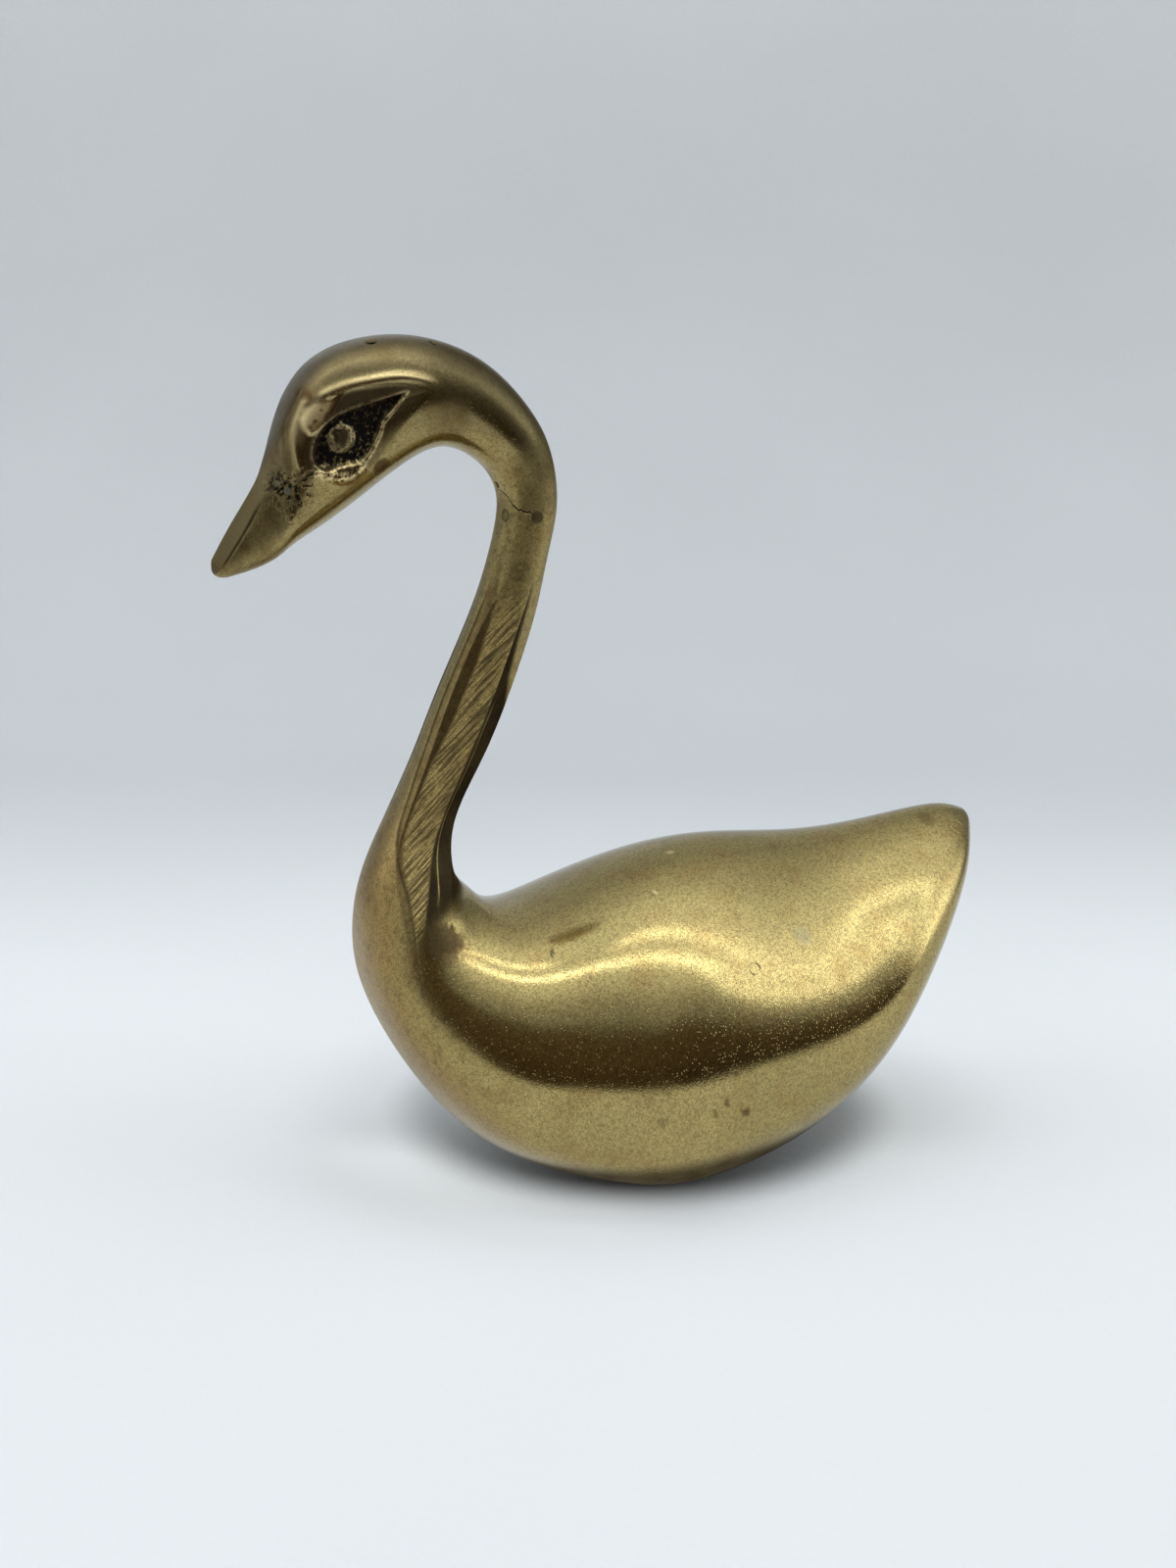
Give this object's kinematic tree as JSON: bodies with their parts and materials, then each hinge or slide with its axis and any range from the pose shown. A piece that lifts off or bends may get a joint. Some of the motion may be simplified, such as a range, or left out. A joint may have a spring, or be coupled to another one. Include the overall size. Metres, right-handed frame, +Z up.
{
  "type": "swan figurine",
  "caption": "Hollow cast swan with a smooth body, an S-curved neck and a pinned head with carved eyes, standing on a small filed flat.",
  "frame": {"origin": "middle of the filed flat under the body", "axes": "+Z up, beak towards -X, tail towards +X, the swan's left side towards -Y"},
  "size_m": [0.1253, 0.0558, 0.1327],
  "materials": {
    "cast_brass": "worn satin polish with brown and green-grey tarnish",
    "plug_brass": "filed flush, satin, tarnished at the rim",
    "pin_brass": "filed flush, dark tarnish"
  },
  "bodies": {
    "root": {"body_casting": "cast_brass", "head_casting": "cast_brass", "base_plug": "plug_brass", "neck_pin_side": "pin_brass", "neck_pin_front": "pin_brass", "tail_plug_left": "plug_brass", "tail_plug_right": "plug_brass", "rump_plug_left": "plug_brass", "rump_plug_right": "plug_brass", "flank_plug_left": "plug_brass", "flank_plug_right": "plug_brass"}
  },
  "joints": []
}
